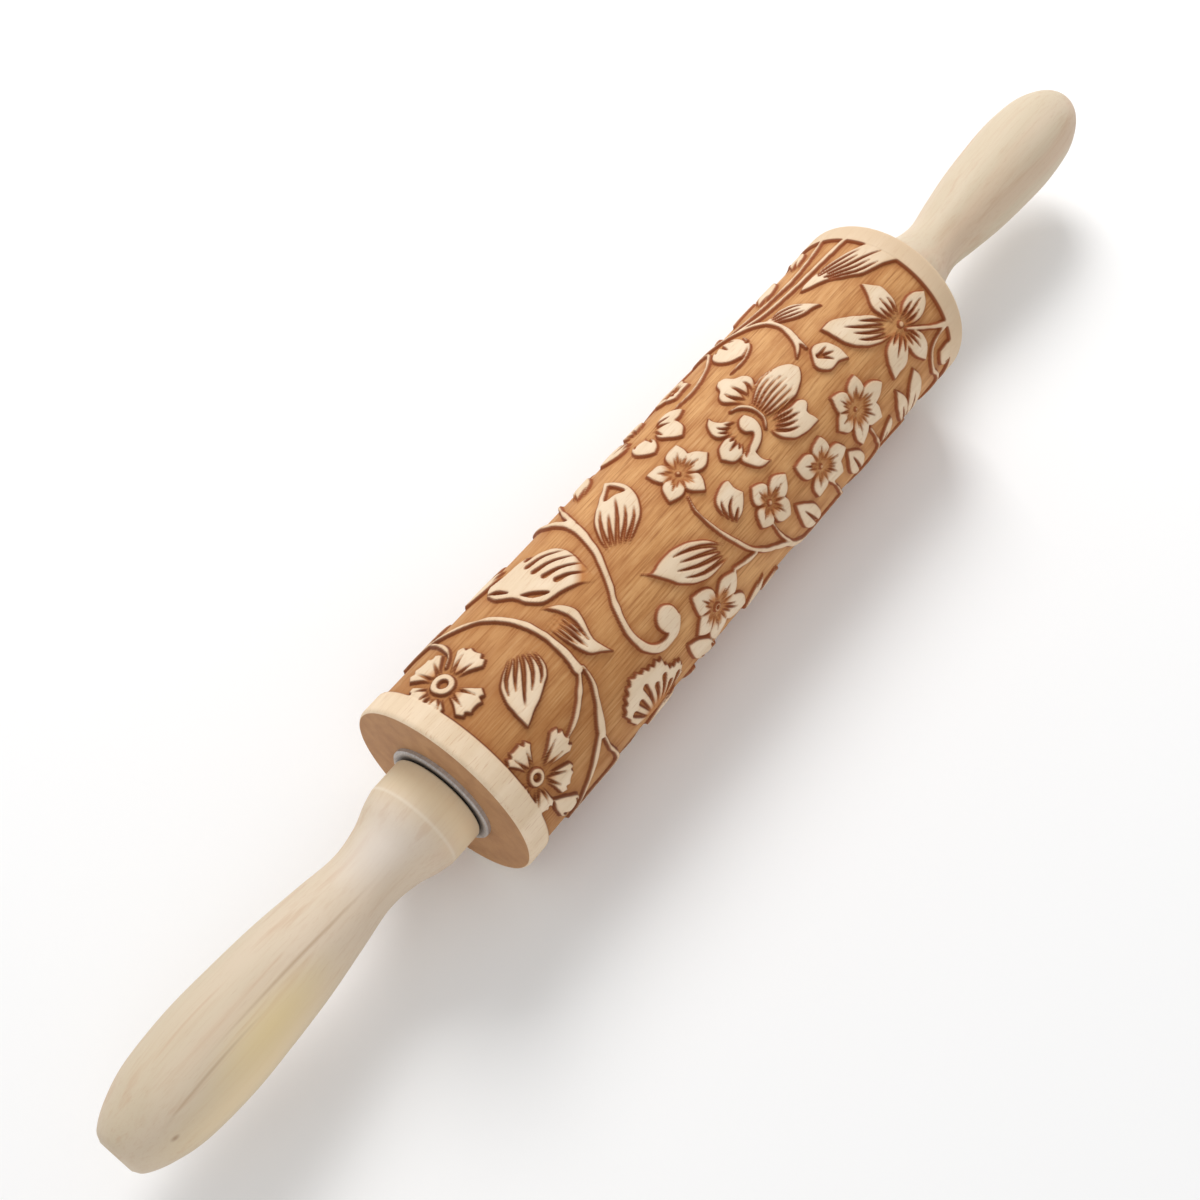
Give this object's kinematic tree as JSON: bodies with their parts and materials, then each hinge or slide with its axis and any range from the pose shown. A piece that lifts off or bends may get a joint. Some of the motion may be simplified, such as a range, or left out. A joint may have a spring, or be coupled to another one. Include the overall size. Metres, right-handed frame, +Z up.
{
  "type": "embossing rolling pin",
  "caption": "Wooden rolling pin whose roller carries a carved all-over flower and vine relief and spins on ball bearings between two turned handles on a steel axle.",
  "frame": {"origin": "centre of the roller, on its spin axis", "axes": "+X along the spin axis towards the right handle's end, +Z up when the pin lies on a table"},
  "size_m": [0.378, 0.05, 0.05],
  "materials": {
    "engraved_roller_wood": "oiled beech, laser-darkened in the cut ground",
    "handle_wood": "plain sanded beech",
    "axle_steel": "zinc-plated threaded rod",
    "spacer_steel": "drawn tube",
    "insert_brass": "machined",
    "nut_steel": "zinc-plated",
    "cup_steel": "pressed, dull",
    "bearing_steel": "ground",
    "ball_steel": "polished",
    "cage_steel": "pressed",
    "shield_steel": "pressed"
  },
  "bodies": {
    "handles_and_axle": {"axle_rod": "axle_steel", "spacer_tube": "spacer_steel", "left_handle": "handle_wood", "left_threaded_insert": "insert_brass", "left_jam_nut": "nut_steel", "left_thrust_washer": "nut_steel", "left_bearing_inner_ring": "bearing_steel", "right_handle": "handle_wood", "right_threaded_insert": "insert_brass", "right_jam_nut": "nut_steel", "right_thrust_washer": "nut_steel", "right_bearing_inner_ring": "bearing_steel"},
    "roller_unit": {"roller": "engraved_roller_wood", "left_bearing_cup": "cup_steel", "left_bearing_outer_ring": "bearing_steel", "left_bearing_outer_shield": "shield_steel", "left_bearing_inner_shield": "shield_steel", "right_bearing_cup": "cup_steel", "right_bearing_outer_ring": "bearing_steel", "right_bearing_outer_shield": "shield_steel", "right_bearing_inner_shield": "shield_steel"},
    "left_ball_set": {"left_bearing_cage": "cage_steel", "left_bearing_balls": "ball_steel"},
    "right_ball_set": {"right_bearing_cage": "cage_steel", "right_bearing_balls": "ball_steel"}
  },
  "joints": [
    {"name": "roller_spin", "type": "hinge", "parent": "handles_and_axle", "child": "roller_unit", "pos_m": [0, 0, 0], "axis": [1, 0, 0], "continuous": true},
    {"name": "left_ball_set_spin", "type": "hinge", "parent": "handles_and_axle", "child": "left_ball_set", "pos_m": [-0.0855, 0, 0], "axis": [1, 0, 0], "continuous": true},
    {"name": "right_ball_set_spin", "type": "hinge", "parent": "handles_and_axle", "child": "right_ball_set", "pos_m": [0.0855, 0, 0], "axis": [1, 0, 0], "continuous": true}
  ],
  "couplings": [
    {"joint": "left_ball_set_spin", "follows": "roller_spin", "ratio": 0.6323},
    {"joint": "right_ball_set_spin", "follows": "roller_spin", "ratio": 0.6323}
  ]
}
